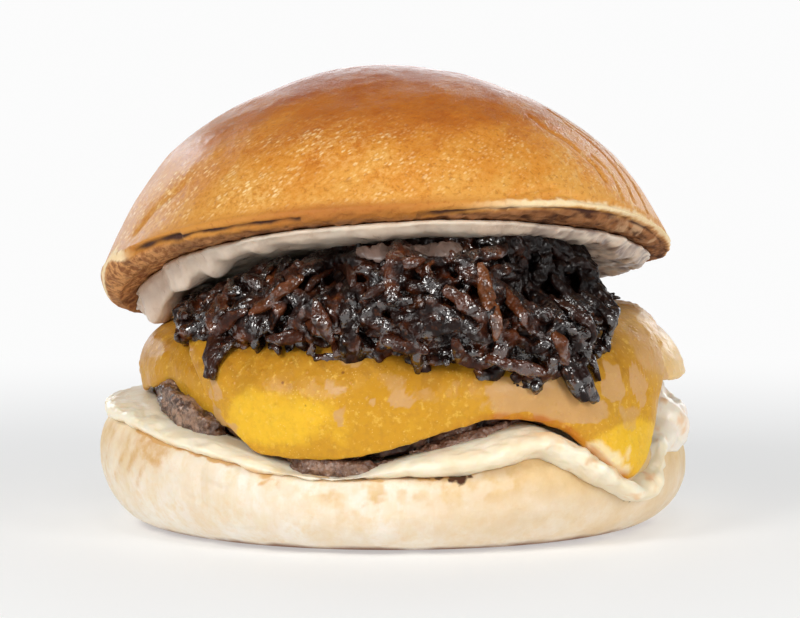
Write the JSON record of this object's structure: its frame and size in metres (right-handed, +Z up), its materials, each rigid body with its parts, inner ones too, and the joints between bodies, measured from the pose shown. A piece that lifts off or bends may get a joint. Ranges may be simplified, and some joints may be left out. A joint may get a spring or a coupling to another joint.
{
  "type": "hamburger",
  "caption": "Cheeseburger in a glazed bun, with draped melted cheese, a heap of dark caramelised onions and cream sauce.",
  "frame": {"origin": "centre of the bounding box in plan, at the level of the base", "axes": "+Z up, -Y towards the front shown in the picture, +X to the right of that view"},
  "size_m": [0.1095, 0.1046, 0.0846],
  "materials": {
    "bun_heel": "soft pale baked skin with a matt, floury surface",
    "sauce": "smooth cream sauce with a soft gloss",
    "meat": "coarse seared mince, moist in the crevices",
    "cheese": "melted yellow cheese, slightly translucent with a waxy gloss",
    "onion": "very dark, sticky and glossy caramelised strips",
    "sauce_browned": "pale greyish pink sauce, satin",
    "bun_crown": "golden brown egg-washed crust with a clear gloss"
  },
  "bodies": {
    "root": {"heel_bun": "bun_heel", "sauce_heel": "sauce", "patty": "meat", "cheese_lower": "cheese", "cheese_upper": "cheese", "onions": "onion", "sauce_crown": "sauce_browned", "crown_bun": "bun_crown"}
  },
  "joints": []
}
